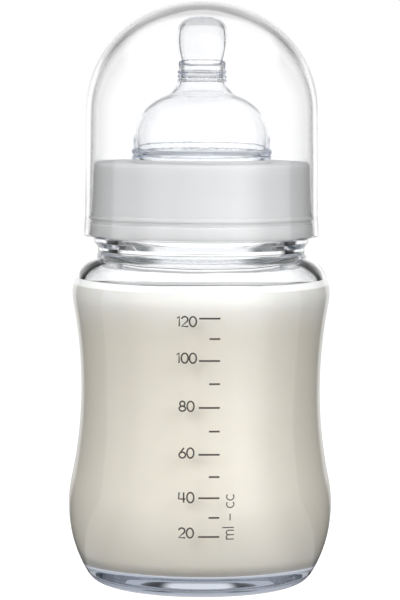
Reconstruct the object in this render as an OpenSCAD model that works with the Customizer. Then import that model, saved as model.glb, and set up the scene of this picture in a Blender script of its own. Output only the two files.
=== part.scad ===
// Baby bottle: a small glass feeding bottle with a waist, filled with milk, with a
// screw collar that holds a soft wide-base teat, and a clear dome hood over both.
// Millimetres, +Z up. The origin is the centre of the ring that the bottle stands
// on, and the volume scale faces -Y.

/* [Glass body] */
// height of the glass rim above the table
rim_height = 94.2; // [88:0.2:100]
// radius of the lower bulge, the widest part
belly_radius = 30.5; // [28:0.1:34]
// height of the lower bulge
belly_height = 18.4; // [16:0.2:21]
// radius of the curve of the lower bulge, seen from the side
belly_round = 30.4; // [27:0.1:34]
// how far the waist lies inside the smaller bulge
waist_depth = 2.1; // [1.6:0.1:3]
// height of the waist, where a hand holds the bottle
waist_height = 45.2; // [40:0.5:50]
// radius of the upper bulge, just under the shoulder
shoulder_radius = 29.8; // [28:0.1:32]
// radius of the curve that rolls in from the upper bulge to the neck
shoulder_round = 10; // [8.6:0.1:11]
// radius of the rounded heel at the foot
heel_round = 5.8; // [4.8:0.2:6.8]
// height of the hollow under the base
push_up = 1.6; // [0.8:0.2:2.4]
// width of the flat ring that the bottle stands on
foot_width = 1.6; // [1:0.2:2.4]

/* [Glass wall] */
// thickness at the lower bulge
belly_wall = 3.2; // [2.8:0.1:4]
// thickness at the waist
waist_wall = 3.3; // [2.8:0.1:3.8]
// thickness at the upper bulge
shoulder_wall = 2.3; // [1.9:0.1:2.8]
// thickness of the floor at the centre, above the hollow
floor_wall = 3.9; // [3:0.1:4.8]
// radius of the curve inside, from the floor to the wall
floor_round = 4.5; // [3.5:0.1:6]
// radius of the curve inside, from the shoulder into the neck
throat_round = 2.5; // [2:0.1:3]

/* [Neck and thread] */
// radius of the finish, the part of the neck that carries the thread
finish_radius = 21.9; // [20:0.1:24]
// thickness of the glass in the finish
finish_wall = 2.5; // [2.2:0.1:2.8]
// how far the plain neck stands out from the finish
neck_step = 2.0; // [1.6:0.1:2.2]
// height of the plain neck above the shoulder
neck_height = 1.5; // [1:0.1:2]
// how far the bead that the collar comes down to stands out from the finish
bead_step = 2.9; // [2.6:0.1:3.2]
// height of the bead's rim
bead_rim = 1.3; // [1:0.1:1.6]
// height of the slope under the bead
bead_slope = 1; // [0.7:0.1:1.3]
// gap between the bead and the lower edge of the collar
bead_gap = 0.3; // [0.2:0.05:0.5]
// rounding of the rim that the baby's milk is poured over
rim_round = 0.7; // [0.4:0.1:1]
// distance from the rim down to the upper end of the thread
thread_start = 2.3; // [1.8:0.1:2.8]
// rise of the thread in one turn
pitch = 4; // [3.6:0.1:4.4]
// how far the thread runs round, in degrees
thread_run = 400; // [360:10:440]
// how far a thread ridge stands off its wall
thread_depth = 1.1; // [0.9:0.1:1.3]
// width of a thread ridge at its foot
thread_foot = 1.8; // [1.6:0.1:2]
// width of a thread ridge at its crest
thread_crest = 1; // [0.8:0.1:1.2]
// radial gap between the glass thread and the collar
thread_gap = 0.3; // [0.2:0.05:0.4]
// gap between the thread flanks that bear when the collar is tight
flank_gap = 0.25; // [0.15:0.05:0.4]

/* [Milk and scale] */
// height of the surface of the milk
milk_level = 69.4; // [60:0.2:76]
// thickness of the printed marks of the scale
print_depth = 0.1; // [0.06:0.02:0.16]
// height of a mark
mark_height = 0.4; // [0.3:0.05:0.6]
// length of a numbered mark
long_mark = 4.7; // [3.5:0.1:6]
// length of a mark between two numbers
short_mark = 2.4; // [1.5:0.1:3]
// where all the marks end, right of the centre line
mark_end = 4.3; // [3.8:0.1:5]

/* [Collar] */
// height of the collar from its lower edge to its flat top
collar_height = 17; // [15.4:0.1:18.6]
// thickness of the skirt at its upper edge
skirt_wall = 1.6; // [1.4:0.1:1.9]
// how much wider the skirt is just above the rib than at its top
skirt_draft = 0.4; // [0.2:0.05:0.5]
// how far the band under the rib stands out from the skirt
band_step = 0.4; // [0.3:0.05:0.5]
// height of that band
band_height = 2.9; // [2.6:0.1:3.2]
// height of the groove between band and rib
groove_height = 1.1; // [0.8:0.1:1.4]
// how far the rib that stops the hood stands out from the band
rib_step = 0.3; // [0.2:0.05:0.4]
// height of the rib
rib_height = 0.9; // [0.7:0.1:1.1]
// rounding of the upper edge of the collar
edge_round = 1; // [0.8:0.1:1.3]
// thickness of the flat top
collar_top = 1.6; // [1.4:0.1:1.8]
// radius of the hole that the teat is pulled through
hole_radius = 15.5; // [14:0.1:17]
// height of the small lip round the hole
lip_height = 0.5; // [0.3:0.1:0.7]
// width of that lip
lip_width = 0.8; // [0.6:0.1:1]

/* [Teat] */
// thickness of the silicone
teat_wall = 0.8; // [0.6:0.05:1]
// thickness of the flange that seals on the glass rim
flange_height = 1.8; // [1.5:0.1:2.1]
// how far the flange stays inside the outer edge of the glass rim
flange_inset = 0.2; // [0.1:0.05:0.4]
// radial gap between the teat's groove and the collar's hole
groove_gap = 0.2; // [0.1:0.05:0.3]
// thickness of the silicone in the groove
groove_wall = 1.5; // [1.2:0.1:1.8]
// how far the visible ring reaches over the edge of the collar's hole
ring_grip = 0.75; // [0.6:0.05:1]
// height of the ring
ring_height = 2.5; // [2:0.1:2.8]
// how far the dome lies inside the ring
dome_step = 0.4; // [0.2:0.1:0.7]
// height of the widest level of the dome above the ring
dome_rise = 2.4; // [1.8:0.1:3.2]
// radius of the curve of the dome's shoulder
dome_round = 11; // [10:0.1:12]
// radius of the sweep from the dome up to the stem
sweep_round = 4.5; // [4:0.1:5]
// radius of the slim stem under the bulb
stem_radius = 5.45; // [5:0.05:6]
// height of the straight stem
stem_height = 3.4; // [3.1:0.1:4.2]
// how far the soft ribs stand out from the stem
rib_reach = 0.5; // [0.3:0.05:0.7]
// distance from one rib to the next
rib_space = 1; // [0.8:0.1:1.2]
// height of the bulb above the stem
bulb_height = 10.6; // [10:0.1:11.6]
// how far the bulb is wider than the stem
bulb_step = 0.5; // [0.4:0.05:0.8]
// distance from the tip down to the widest level of the bulb
bulb_drop = 5.6; // [5:0.1:6]
// radius of the bulging side of the bulb
side_round = 16; // [14:0.5:18]
// radius of the bulb's corner
tip_round = 3.4; // [3:0.1:3.8]
// radius of the flatter tip
tip_crown = 13; // [11.5:0.5:14.5]
// diameter of the feed hole in the tip
feed_hole = 0.7; // [0.5:0.1:1]
// diameter of the air vent in the flange
vent_hole = 1; // [0.8:0.1:1.2]

/* [Hood] */
// height of the hood from its rim to its top
hood_height = 54; // [53.2:0.2:58]
// thickness of the clear plastic in the wall
hood_wall = 1.3; // [1:0.05:1.6]
// thickness of the clear plastic at the top
crown_wall = 1.9; // [1.3:0.1:2.2]
// gap between the hood's wall and the widest part of the collar's skirt
hood_room = 0.3; // [0.2:0.05:0.5]
// radial gap between the hood's foot and the collar's rib
foot_gap = 0.2; // [0.15:0.05:0.3]
// thickness of the hood's flared foot
foot_wall = 0.9; // [0.7:0.05:1.1]
// how much narrower the wall is where the dome begins
hood_draft = 0.25; // [0.1:0.05:0.4]
// how much smaller the dome's corner curve is than the wall's radius
corner_step = 1.95; // [1.6:0.05:2.4]
// how much larger the curve of the flat crown is than the corner curve
crown_step = 5.2; // [4.6:0.1:6]

/* [Hidden] */
$fn = 120;
eps = 0.01;

// Upwards: flange, collar top and ring of the teat stack face to face on the rim.
collar_under = rim_height + flange_height;
collar_face = collar_under + collar_top;
collar_base = collar_face - collar_height;
lip_face = collar_face + lip_height;

// Downwards from the collar: bead, neck and shoulder.
bead_top = collar_base - bead_gap;
bead_low = bead_top - bead_rim;
neck_radius = finish_radius + neck_step;
bead_radius = finish_radius + bead_step;
bore_radius = finish_radius - finish_wall;
neck_foot = bead_low - bead_slope - neck_height;
neck_reach = neck_radius - shoulder_radius + shoulder_round;
shoulder_height = neck_foot - sqrt(pow(shoulder_round, 2) - pow(neck_reach, 2));

waist_radius = min(belly_radius, shoulder_radius) - waist_depth;
floor_height = push_up + floor_wall;

// Outwards from the thread: collar, then hood.
skirt_in = finish_radius + thread_depth + thread_gap;
skirt_top = skirt_in + skirt_wall;
skirt_low = skirt_top + skirt_draft;
band_radius = skirt_low + band_step;
rib_radius = band_radius + rib_step;
rib_low = collar_base + band_height + groove_height;
rib_top = rib_low + rib_height;
hood_foot = rib_radius + foot_gap;
hood_low = skirt_low + hood_room + hood_wall;
hood_radius = hood_low - hood_draft;
hood_round = hood_radius - corner_step;
crown_round = hood_round + crown_step;
hood_top = collar_base + hood_height;

// ---------------------------------------------------------------- curves

// Points of an arc about c from angle a to angle b, four degrees apart or less.
function arc(c, r, a, b) = let (n = max(2, ceil(abs(b - a) / 4)))
    [for (i = [0:n]) c + r * [cos(a + (b - a) * i / n), sin(a + (b - a) * i / n)]];

// A line without the doubled points where two arcs meet.
function joined(p) = [for (i = [0:len(p) - 1]) if (i == 0 || norm(p[i] - p[i - 1]) > eps) p[i]];

function swap(points) = [for (i = [len(points) - 1:-1:0]) points[i]];

function angle_of(v) = atan2(v.y, v.x);

// Radius of the hollow curve that runs upright out of a waist and meets a bulge of
// the curve `round` tangent, `rise` away and `step` further out.
function hollow(rise, step, round) = (rise * rise + step * step) / (2 * step) - round;

// One side of a waisted vessel, from its floor up to where the shoulder's curve is
// `top` from the axis: heel, belly, waist and shoulder, each tangent to the next.
function waisted(belly_r, waist_r, shoulder_r, round_b, round_s, floor_z, round_h, top) =
    let (low_arc = hollow(waist_height - belly_height, belly_r - waist_r, round_b),
         high_arc = hollow(shoulder_height - waist_height, shoulder_r - waist_r, round_s),
         b = [belly_r - round_b, belly_height],
         w = [waist_r + low_arc, waist_height],
         v = [waist_r + high_arc, waist_height],
         s = [shoulder_r - round_s, shoulder_height],
         hz = floor_z + round_h,
         h = [b.x + sqrt(pow(round_b - round_h, 2) - pow(belly_height - hz, 2)), hz],
         foot = angle_of(h - b), low = angle_of(w - b), high = angle_of(v - s))
    joined(concat(arc(h, round_h, -90, foot), arc(b, round_b, foot, low),
                  arc(w, low_arc, 180 + low, 180), arc(v, high_arc, 180, 180 + high),
                  arc(s, round_s, high, acos((top - s.x) / round_s))));

// ---------------------------------------------------------------- glass

outer_side = waisted(belly_radius, waist_radius, shoulder_radius, belly_round,
                     shoulder_round, 0, heel_round, neck_radius);

// Inside, the shoulder opens into the bore over a rounded corner of glass.
shoulder_in = shoulder_radius - shoulder_wall;
inner_round = shoulder_round - shoulder_wall;
inner_centre = [shoulder_in - inner_round, shoulder_height];
throat_reach = bore_radius + throat_round - inner_centre.x;
throat_centre = [bore_radius + throat_round, shoulder_height
                 + sqrt(pow(inner_round + throat_round, 2) - pow(throat_reach, 2))];
throat_meet = inner_centre.x
              + throat_reach * inner_round / (inner_round + throat_round);
cavity_side = joined(concat(
    waisted(belly_radius - belly_wall, waist_radius - waist_wall, shoulder_in,
            belly_round - belly_wall, inner_round, floor_height, floor_round,
            throat_meet),
    arc(throat_centre, throat_round, angle_of(inner_centre - throat_centre), -180)));

// The hollow under the base is a shallow dish inside the foot ring.
dish_radius = outer_side[0].x - foot_width;
dish_arc = (dish_radius * dish_radius + push_up * push_up) / (2 * push_up);
dish = arc([0, push_up - dish_arc], dish_arc, 90, 90 - asin(dish_radius / dish_arc));

finish = concat([[neck_radius, bead_low - bead_slope]],
    arc([bead_radius - 0.2, bead_low + 0.2], 0.2, -45, 0),
    arc([bead_radius - 0.3, bead_top - 0.3], 0.3, 0, 90),
    [[finish_radius, bead_top]],
    arc([finish_radius - rim_round, rim_height - rim_round], rim_round, 0, 90),
    arc([bore_radius + rim_round, rim_height - rim_round], rim_round, 90, 180));

// A screw ridge: a four-cornered section carried round a helix. It fades into its
// wall at both ends. `wall` is the wall's radius, `out` is 1 on a shaft and -1 in a
// bore, and z is the height of the middle of the ridge at angle 0.
module ridge(wall, out, z) {
    steps = ceil(thread_run / 10);
    fade = 2;
    sunk = 0.45;
    function lift(i) = min(1, i / fade, (steps - i) / fade);
    function corner(i, k) = let (a = thread_run * i / steps, h = pitch * a / 360,
        crest = thread_depth * lift(i) - sunk / 2 * (1 - lift(i)),
        half = [thread_foot, thread_crest, thread_crest, thread_foot][k] / 2,
        r = wall + out * (k == 0 || k == 3 ? -sunk : crest))
        [r * cos(a), r * sin(a), z + h + (k < 2 ? -half : half)];
    sides = [for (i = [0:steps - 1], k = [0:3]) let (a = 4 * i, n = (k + 1) % 4)
             each out > 0 ? [[a + k, a + n, a + 4 + k], [a + n, a + 4 + n, a + 4 + k]]
                          : [[a + k, a + 4 + k, a + n], [a + n, a + 4 + k, a + 4 + n]]];
    last = 4 * steps;
    ends = out > 0 ? [[3, 2, 1, 0], [last, last + 1, last + 2, last + 3]]
                   : [[0, 1, 2, 3], [last + 3, last + 2, last + 1, last]];
    polyhedron([for (i = [0:steps], k = [0:3]) corner(i, k)],
               concat(sides, ends), convexity = 10);
}

glass_thread = rim_height - thread_start - pitch * thread_run / 360;
// half the width of both ridges together, where they pass each other
mesh_half = (thread_foot + thread_crest
             - thread_gap * (thread_foot - thread_crest) / thread_depth) / 2;
collar_thread = glass_thread - mesh_half - flank_gap;

module cavity() rotate_extrude()
    polygon(concat([[0, floor_height]], cavity_side,
                   [[bore_radius, rim_height], [0, rim_height]]));

module glass_body() color([0.85, 0.9, 0.92, 0.35]) {
    rotate_extrude()
        polygon(concat(dish, outer_side, finish, swap(cavity_side),
                       [[0, floor_height]]));
    ridge(finish_radius, 1, glass_thread);
}

// ---------------------------------------------------------------- milk and scale

module milk() color([0.96, 0.94, 0.88]) intersection() {
    cavity();
    cylinder(h = milk_level, r = belly_radius + shoulder_radius);
}

// How much the bottle holds, in ml, below each point of the inside. Interpolation
// turns that into the height of any volume.
function slice(p, q) = PI / 3000 * (q.y - p.y) * (p.x * p.x + p.x * q.x + q.x * q.x);
fill_chart = [for (i = 0, v = 0; i < len(cavity_side) - 1;
                   v = v + slice(cavity_side[i], cavity_side[i + 1]), i = i + 1)
              [v, cavity_side[i].y]];

module bar(ml, length)
    translate([mark_end - length, -belly_radius - shoulder_radius,
               lookup(ml, fill_chart) - mark_height / 2])
        cube([length, belly_radius + shoulder_radius, mark_height]);

// The glass as a full body, grown by the depth of the print.
module full(depth) rotate_extrude()
    polygon(concat([[0, -depth]],
        waisted(belly_radius + depth, waist_radius + depth, shoulder_radius + depth,
                belly_round + depth, shoulder_round + depth, -depth,
                heel_round + depth, neck_radius),
        [[0, neck_foot]]));

module graduation_scale() color([0.35, 0.33, 0.32]) intersection() {
    difference() {
        full(print_depth);
        full(0);
    }
    union() {
        for (ml = [20:20:120]) bar(ml, long_mark);
        for (ml = [30:20:110]) bar(ml, short_mark);
    }
}

// ---------------------------------------------------------------- collar

module collar() color([0.93, 0.93, 0.93]) {
    lip_slope = 0.2;
    rotate_extrude()
        polygon(concat([[skirt_in, collar_base + 0.3], [skirt_in + 0.3, collar_base]],
            arc([band_radius - 0.3, collar_base + 0.3], 0.3, -90, 0),
            [[band_radius, collar_base + band_height],
             [skirt_low + 0.1, collar_base + band_height],
             [skirt_low + 0.1, rib_low], [rib_radius, rib_low],
             [rib_radius, rib_top], [skirt_low, rib_top]],
            arc([skirt_top - edge_round, collar_face - edge_round], edge_round, 0, 90),
            [[hole_radius + lip_width + lip_slope, collar_face],
             [hole_radius + lip_width, lip_face],
             [hole_radius + lip_slope, lip_face],
             [hole_radius, lip_face - lip_slope],
             [hole_radius, collar_under], [skirt_in, collar_under]]));
    ridge(skirt_in, -1, collar_thread);
}

// ---------------------------------------------------------------- teat

groove_radius = hole_radius - groove_gap;
mouth_radius = groove_radius - groove_wall;
ring_radius = hole_radius + ring_grip;
ring_top = lip_face + ring_height;
dome_radius = ring_radius - dome_step;
flange_radius = finish_radius - flange_inset;

// Centres of the dome's shoulder and of the sweep that leads up to the stem.
dome_centre = [dome_radius - dome_round, ring_top + dome_rise];
sweep_x = stem_radius + sweep_round;
sweep_centre = [sweep_x, dome_centre.y + sqrt(pow(dome_round + sweep_round, 2)
                                              - pow(sweep_x - dome_centre.x, 2))];
sweep_turn = angle_of(sweep_centre - dome_centre);
stem_top = sweep_centre.y + stem_height;
teat_tip = stem_top + bulb_height;

// The bulb has a bulging side, a corner and a flatter tip. The corner touches both
// others from inside, so its centre is where two circles about theirs meet.
side_centre = [stem_radius + bulb_step - side_round, teat_tip - bulb_drop];
crown_centre = [0, teat_tip - tip_crown];
apart = norm(crown_centre - side_centre);
along = (apart * apart + pow(side_round - tip_round, 2)
         - pow(tip_crown - tip_round, 2)) / (2 * apart);
off = sqrt(pow(side_round - tip_round, 2) - along * along);
ahead = (crown_centre - side_centre) / apart;
corner_centre = side_centre + along * ahead + off * [-ahead.y, ahead.x];
ledge = 0.15;
bulb_foot = asin((stem_top + ledge - side_centre.y) / side_round);

// The outside of the teat above its ring. With t, the inside: the same line one
// thickness in.
function teat_line(t) =
    let (c1 = angle_of(corner_centre - side_centre),
         c2 = angle_of(corner_centre - crown_centre))
    joined(concat(arc(dome_centre, dome_round - t, 0, sweep_turn),
                  arc(sweep_centre, sweep_round + t, 180 + sweep_turn, 180),
                  [[stem_radius - t, stem_top]],
                  arc(side_centre, side_round - t, bulb_foot, c1),
                  arc(corner_centre, tip_round - t, c1, c2),
                  arc(crown_centre, tip_crown - t, c2, 90)));

module soft_rib() rotate_extrude() polygon([[0, -0.6], [stem_radius, -0.5],
    [stem_radius + rib_reach, -0.12], [stem_radius + rib_reach, 0.12],
    [stem_radius, 0.5], [0, 0.6]]);

module teat() color([0.9, 0.93, 0.96, 0.5]) difference() {
    union() {
        rotate_extrude()
            polygon(concat([[0, rim_height]],
                arc([flange_radius - 0.4, rim_height + 0.4], 0.4, -90, 0),
                arc([flange_radius - 0.4, collar_under - 0.4], 0.4, 0, 90),
                [[groove_radius, collar_under], [groove_radius, lip_face],
                 [ring_radius - 0.5, lip_face],
                 [ring_radius, lip_face + ring_height / 4],
                 [ring_radius - 0.3, lip_face + ring_height * 0.42],
                 [ring_radius, lip_face + ring_height * 0.54]],
                arc([ring_radius - 0.3, ring_top - 0.3], 0.3, 0, 90),
                [[dome_radius - 0.1, ring_top]], teat_line(0)));
        for (i = [0:2])
            translate([0, 0, stem_top - stem_height - rib_space + i * rib_space])
                soft_rib();
    }
    rotate_extrude()
        polygon(concat([[0, rim_height - 1], [mouth_radius, rim_height - 1],
                        [mouth_radius, lip_face]], teat_line(teat_wall)));
    cylinder(h = teat_tip + 1, d = feed_hole);
    // the vent lets air in past the collar as the milk goes out
    translate([0, (groove_radius + bore_radius) / 2, rim_height - 1]) {
        cylinder(h = flange_height + 2, d = vent_hole);
        translate([-vent_hole / 2, -(bore_radius - groove_radius), 0.5 + flange_height])
            cube([vent_hole, bore_radius - groove_radius, 1]);
    }
}

// ---------------------------------------------------------------- hood

// One side of the hood above its foot, up to the height `top` on the axis: a round
// corner that starts from the drafted wall, and a flatter crown.
function hood_line(wall_r, top, corner, crown) =
    let (reach = wall_r - corner, low = [0, top - crown],
         c = low + [reach, sqrt(pow(crown - corner, 2) - reach * reach)],
         turn = angle_of(c - low))
    joined(concat(arc(c, corner, 0, turn), arc(low, crown, turn, 90)));

module hood() color([0.9, 0.95, 1, 0.3]) rotate_extrude()
    polygon(concat([[hood_foot, collar_base], [hood_foot + foot_wall - 0.2, collar_base],
        [hood_foot + foot_wall, collar_base + 0.2],
        [hood_foot + foot_wall, collar_base + band_height / 2], [hood_low, rib_top]],
        hood_line(hood_radius, hood_top, hood_round, crown_round),
        swap(hood_line(hood_radius - hood_wall, hood_top - crown_wall,
                       hood_round - hood_wall, crown_round - crown_wall)),
        [[hood_low - hood_wall, rib_top], [hood_foot, rib_top]]));

glass_body();
milk();
graduation_scale();
collar();
teat();
hood();
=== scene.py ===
# %% [markdown]
# # A glass baby bottle
#
# This lesson dresses the frame of a small feeding bottle: a waisted glass full of
# milk, a printed scale, a white screw collar, a clear silicone teat and a clear
# hood. Nearly every piece is round, so nearly every piece is turned: half of its
# outline is drawn once and spun about the Z axis. Its look comes from clear material
# in thick walls, so the outlines are exact inside as well as outside.

# %% Load the frame
from math import acos, asin, atan2, ceil, cos, degrees, hypot, pi, radians, sin, sqrt

import bmesh
import bpy
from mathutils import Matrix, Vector


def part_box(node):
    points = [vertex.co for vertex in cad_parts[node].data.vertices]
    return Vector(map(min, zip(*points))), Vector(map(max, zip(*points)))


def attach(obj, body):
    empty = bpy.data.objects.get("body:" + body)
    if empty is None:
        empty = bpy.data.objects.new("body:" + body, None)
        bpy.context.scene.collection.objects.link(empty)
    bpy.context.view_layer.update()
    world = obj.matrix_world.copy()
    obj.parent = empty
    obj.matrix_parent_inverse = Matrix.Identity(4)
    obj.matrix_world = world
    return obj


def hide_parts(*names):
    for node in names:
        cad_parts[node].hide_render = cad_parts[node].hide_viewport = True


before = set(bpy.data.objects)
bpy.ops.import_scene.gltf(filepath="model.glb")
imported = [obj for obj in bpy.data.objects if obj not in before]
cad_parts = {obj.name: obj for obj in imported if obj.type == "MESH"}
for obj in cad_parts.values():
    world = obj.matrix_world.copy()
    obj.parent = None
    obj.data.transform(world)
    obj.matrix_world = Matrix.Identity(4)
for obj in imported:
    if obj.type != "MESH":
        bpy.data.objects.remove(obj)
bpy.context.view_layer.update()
MM = 0.001


def span(node):
    """Lowest and highest corner of a node, in millimetres."""
    low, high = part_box(node)
    return Vector(low) / MM, Vector(high) / MM


for name in ("glass_body", "milk", "graduation_scale", "collar", "teat", "hood"):
    print(name, "from", [round(v, 1) for v in span(name)[0]],
          "to", [round(v, 1) for v in span(name)[1]], "mm")

# %% [markdown]
# ## The camera
#
# A long lens from well back keeps the sides of the bottle nearly parallel, as on a
# catalogue page. The lens stands a little under the hood's top and is tilted down
# by four degrees, so the edges of the foot and of the milk show as flat ellipses.
# Lengths are in millimetres until they meet Blender, and angles are in degrees.

# %% Place the camera
CAMERA_ASIDE, CAMERA_AWAY, CAMERA_HIGH = -0.48, 656.8, 113.9
CAMERA_DOWN, CAMERA_ROLL = 4.20, -0.295
FOCAL_LENGTH, FILM_WIDTH = 170.65, 36.0

lens = bpy.data.cameras.new("catalogue lens")
lens.lens, lens.sensor_width, lens.sensor_fit = FOCAL_LENGTH, FILM_WIDTH, "AUTO"
camera = bpy.data.objects.new("catalogue camera", lens)
camera.location = (CAMERA_ASIDE * MM, -CAMERA_AWAY * MM, CAMERA_HIGH * MM)
camera.rotation_euler = (radians(90 - CAMERA_DOWN), radians(CAMERA_ROLL), 0)
bpy.context.scene.collection.objects.link(camera)
bpy.context.scene.camera = camera
print("camera", round(CAMERA_AWAY), "mm away,", round(CAMERA_HIGH), "mm high")

# %% [markdown]
# ## Drawing and turning an outline
#
# An outline could be a long list of points, but then nobody can see what the shape
# is. Here a pen draws it in a bmesh, in millimetres, in the plane of r (out from
# the axis) and z (up). `line` pulls a new vertex out of the last one, and `bend`
# spins the last vertex about a centre, which leaves a true arc of short edges. The
# finished outline is spun a full turn, merged, and its normals are pointed out.

# %% The pen
ARC_STEP, ARC_EDGE = 7, 1.2  # the widest angle and the longest edge of an arc
WELD = 1e-3  # points nearer than this are one point


class Outline:
    """Half of the section of a round piece, drawn from its first point."""

    def __init__(self, r, z):
        self.bm = bmesh.new()
        self.lift(r, z)

    def lift(self, r, z):
        """Start another stroke of the same outline at (r, z)."""
        self.pen = self.bm.verts.new((r, 0, z))
        return self

    def line(self, *points):
        for r, z in points:
            made = bmesh.ops.extrude_vert_indiv(self.bm, verts=[self.pen])
            self.pen = made["verts"][0]
            self.pen.co = (r, 0, z)
        return self

    def bend(self, centre, angle):
        """Carry the pen round centre = (r, z) until it stands at angle, in degrees."""
        r, z = self.pen.co.x - centre[0], self.pen.co.z - centre[1]
        turn = angle - degrees(atan2(z, r))
        turn -= 360 * round(turn / 360)
        steps = max(ceil(abs(turn) / ARC_STEP),
                    ceil(radians(abs(turn)) * hypot(r, z) / ARC_EDGE))
        if steps:
            made = bmesh.ops.spin(self.bm, geom=[self.pen], cent=(centre[0], 0, centre[1]),
                                  axis=(0, -1, 0), angle=radians(turn), steps=steps)
            self.pen = next(v for v in made["geom_last"]
                            if isinstance(v, bmesh.types.BMVert))
        return self

    def points(self):
        return [(v.co.x, v.co.z) for v in self.bm.verts]


def turned(outline, segments=144):
    """Spin an outline about Z into a closed skin."""
    bm = outline.bm
    bmesh.ops.spin(bm, geom=bm.verts[:] + bm.edges[:], cent=(0, 0, 0), axis=(0, 0, 1),
                   angle=2 * pi, steps=segments, use_merge=True)
    bmesh.ops.remove_doubles(bm, verts=bm.verts[:], dist=WELD)
    bmesh.ops.dissolve_degenerate(bm, edges=bm.edges[:], dist=WELD / 100)
    bmesh.ops.recalc_face_normals(bm, faces=bm.faces[:])
    return bm


def angle_of(start, end):
    """Direction from one point of the section to another, in degrees."""
    return degrees(atan2(end[1] - start[1], end[0] - start[0]))


def finished(bm, name, body, material, replaces=None, sharp=35):
    """Turn a bmesh in millimetres into a piece that rides on a body."""
    bmesh.ops.scale(bm, vec=(MM, MM, MM), verts=bm.verts[:])
    mesh = bpy.data.meshes.new(name)
    bm.to_mesh(mesh)
    open_edges = sum(1 for e in bm.edges if len(e.link_faces) != 2)
    bm.free()
    mesh.shade_smooth()
    mesh.set_sharp_from_angle(angle=radians(sharp))
    piece = bpy.data.objects.new(name, mesh)
    bpy.context.scene.collection.objects.link(piece)
    mesh.materials.append(material)
    if replaces:
        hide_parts(replaces)
    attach(piece, body)
    size = [round(v / MM, 1) for v in piece.dimensions]
    print(name, len(mesh.polygons), "faces,", open_edges, "open edges,", size, "mm")

# %% [markdown]
# ## Screw ridges
#
# The glass carries a ridge that climbs round it once and a bit, and the collar has
# one inside. A four-cornered section is spun with a rise at each step, which makes
# the helix in one call. The first and last two steps sink into the wall, as a real
# thread runs out. The ridge is then joined to its wall: in clear glass a skin that
# is left inside the wall would bend the light a second time.

# %% A thread and how it is joined
PITCH, THREAD_RUN = 4.0, 400
THREAD_DEPTH, THREAD_FOOT, THREAD_CREST = 1.1, 1.8, 1.0
SUNK, END_SUNK = 0.45, 0.22  # how far the ridge and its ends go into the wall
THREAD_STEP = 10
THREAD_RISE = PITCH * THREAD_RUN / 360


def screw_ridge(wall, out, z):
    """A ridge on a wall of radius `wall`, out = 1 on a shaft and -1 in a bore."""
    bm = bmesh.new()
    foot, crest = THREAD_FOOT / 2, THREAD_CREST / 2
    section = ((-SUNK, -foot), (THREAD_DEPTH, -crest), (THREAD_DEPTH, crest), (-SUNK, foot))
    face = bm.faces.new([bm.verts.new((wall + out * depth, 0, z + half))
                         for depth, half in section])
    steps = THREAD_RUN // THREAD_STEP
    bmesh.ops.spin(bm, geom=[face] + face.edges[:] + face.verts[:], cent=(0, 0, 0),
                   axis=(0, 0, 1), dvec=(0, 0, THREAD_RISE / steps),
                   angle=radians(THREAD_RUN), steps=steps, use_merge=False)
    for number, v in enumerate(bm.verts):
        turn = number // len(section)
        end = min(turn, steps - turn) / 2
        r = hypot(v.co.x, v.co.y)
        if end < 1 and out * (r - wall) > 0:
            low = wall + out * (THREAD_DEPTH * end - END_SUNK * (1 - end))
            v.co.x, v.co.y = v.co.x * low / r, v.co.y * low / r
    bmesh.ops.recalc_face_normals(bm, faces=bm.faces[:])
    return bm


def combined(bm, other, operation):
    """Apply a boolean of two bmeshes, and return the result as a bmesh."""
    made = []
    for part in (bm, other):
        mesh = bpy.data.meshes.new("blank")
        part.to_mesh(mesh)
        part.free()
        made.append(bpy.data.objects.new("blank", mesh))
        bpy.context.scene.collection.objects.link(made[-1])
    cut = made[0].modifiers.new("joint", "BOOLEAN")
    cut.operation, cut.object, cut.solver = operation, made[1], "MANIFOLD"
    ready = made[0].evaluated_get(bpy.context.evaluated_depsgraph_get())
    result = bmesh.new()
    result.from_mesh(ready.data)
    for blank in made:
        mesh = blank.data
        bpy.data.objects.remove(blank)
        bpy.data.meshes.remove(mesh)
    return result

# %% [markdown]
# ## One effect for all moulded pieces
#
# Collar, hood and teat all come out of steel moulds. Such a skin is never perfectly
# even: it has a grain so fine that it only softens a highlight, and slow dips where
# the melt shrank. The node group below gives both from Object coordinates, so the
# pattern stays on the piece when it moves, and each material sets its own amounts.

# %% Node helpers and the moulded skin
def wired(tree, kind, inputs=None, **settings):
    """Add a node, set its properties, and set or link its inputs."""
    node = tree.nodes.new(kind)
    for key, value in settings.items():
        setattr(node, key, value)
    for key, value in (inputs or {}).items():
        if isinstance(value, bpy.types.NodeSocket):
            tree.links.new(value, node.inputs[key])
        else:
            node.inputs[key].default_value = value
    return node


def math(tree, operation, a, b=0, c=0):
    return wired(tree, "ShaderNodeMath", {0: a, 1: b, 2: c}, operation=operation).outputs[0]


def product(tree, first, *others):
    """All the values multiplied."""
    for other in others:
        first = math(tree, "MULTIPLY", first, other)
    return first


def ramp(tree, value, start, end, low=0.0, high=1.0):
    """Run smoothly from low at start to high at end."""
    return wired(tree, "ShaderNodeMapRange", {"Value": value, "From Min": start,
                 "From Max": end, "To Min": low, "To Max": high},
                 interpolation_type="SMOOTHSTEP").outputs[0]


def blend(tree, factor, first, second):
    """A colour between two others, given as (red, green, blue)."""
    node = wired(tree, "ShaderNodeMix", {"Factor": factor}, data_type="RGBA")
    node.inputs["A"].default_value = (*first, 1)
    node.inputs["B"].default_value = (*second, 1)
    return node.outputs["Result"]


def mixed(tree, factor, first, second):
    """One shader where the factor is 0 and another where it is 1."""
    return wired(tree, "ShaderNodeMixShader", {0: factor, 1: first.outputs[0],
                                               2: second.outputs[0]})


def object_place(tree):
    """The point on a piece, in metres from its origin, and its X, Y and Z."""
    place = wired(tree, "ShaderNodeTexCoord").outputs["Object"]
    return place, wired(tree, "ShaderNodeSeparateXYZ", {0: place}).outputs


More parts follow.
